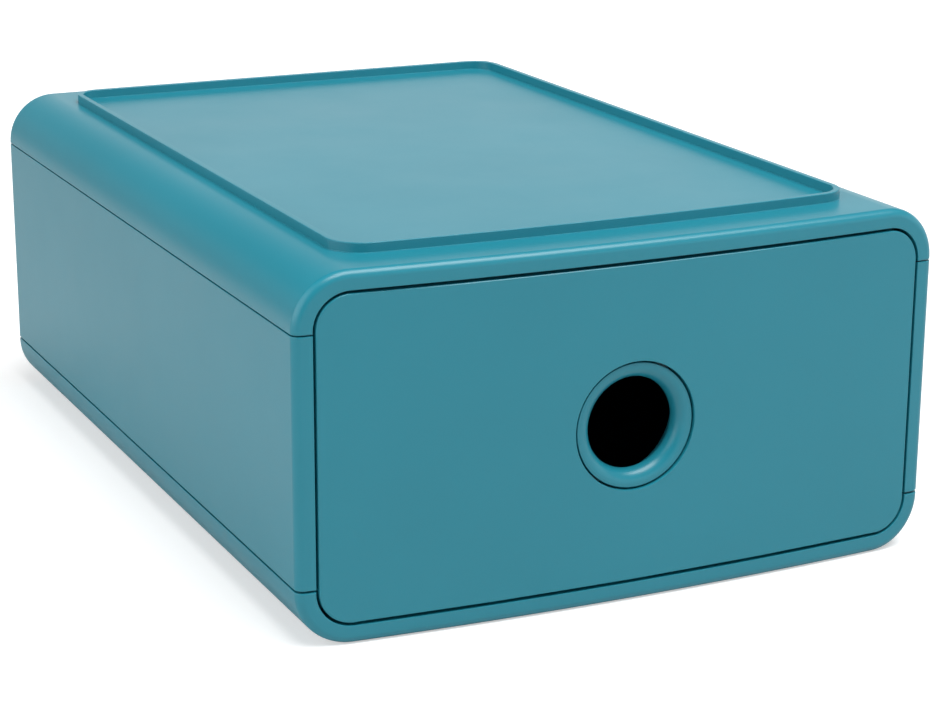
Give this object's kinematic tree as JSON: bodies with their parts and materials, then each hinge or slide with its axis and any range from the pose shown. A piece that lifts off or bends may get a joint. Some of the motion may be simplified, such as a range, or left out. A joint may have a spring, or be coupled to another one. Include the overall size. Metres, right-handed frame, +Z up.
{
  "type": "stackable drawer box",
  "caption": "Low moulded plastic case with one full-width drawer, a round finger hole in its bowed front, and a raised rim on top that locates a second box.",
  "frame": {"origin": "on the surface that the box stands on, under the middle of its bounding box", "axes": "+X to the right as seen from the front, +Y from the drawer front to the back, +Z up"},
  "size_m": [0.25, 0.349, 0.1345],
  "materials": {
    "case_plastic": "semi-matte moulded plastic, fine texture",
    "front_plastic": "semi-matte moulded plastic, fine texture",
    "tray_plastic": "semi-matte moulded plastic",
    "ring_plastic": "satin moulded plastic",
    "runner_plastic": "smooth natural nylon",
    "bumper_rubber": "soft black rubber",
    "fastener_steel": "zinc-plated"
  },
  "bodies": {
    "case": {"top_shell": "case_plastic", "bottom_shell": "case_plastic", "left_side_panel": "case_plastic", "right_side_panel": "case_plastic", "back_panel": "case_plastic", "upper_seam_pins": "fastener_steel", "lower_seam_pins": "fastener_steel", "back_screws": "fastener_steel", "left_runner": "runner_plastic", "right_runner": "runner_plastic", "left_runner_screws": "fastener_steel", "right_runner_screws": "fastener_steel", "left_stop_bumper": "bumper_rubber", "right_stop_bumper": "bumper_rubber", "rear_buffers": "bumper_rubber"},
    "drawer": {"drawer_tray": "tray_plastic", "drawer_front": "front_plastic", "finger_ring": "ring_plastic", "ring_retainer": "ring_plastic", "front_screws": "fastener_steel"}
  },
  "joints": [
    {"name": "drawer_slide", "type": "slide", "parent": "case", "child": "drawer", "axis": [0, -1, 0], "range_m": [0, 0.26]}
  ]
}
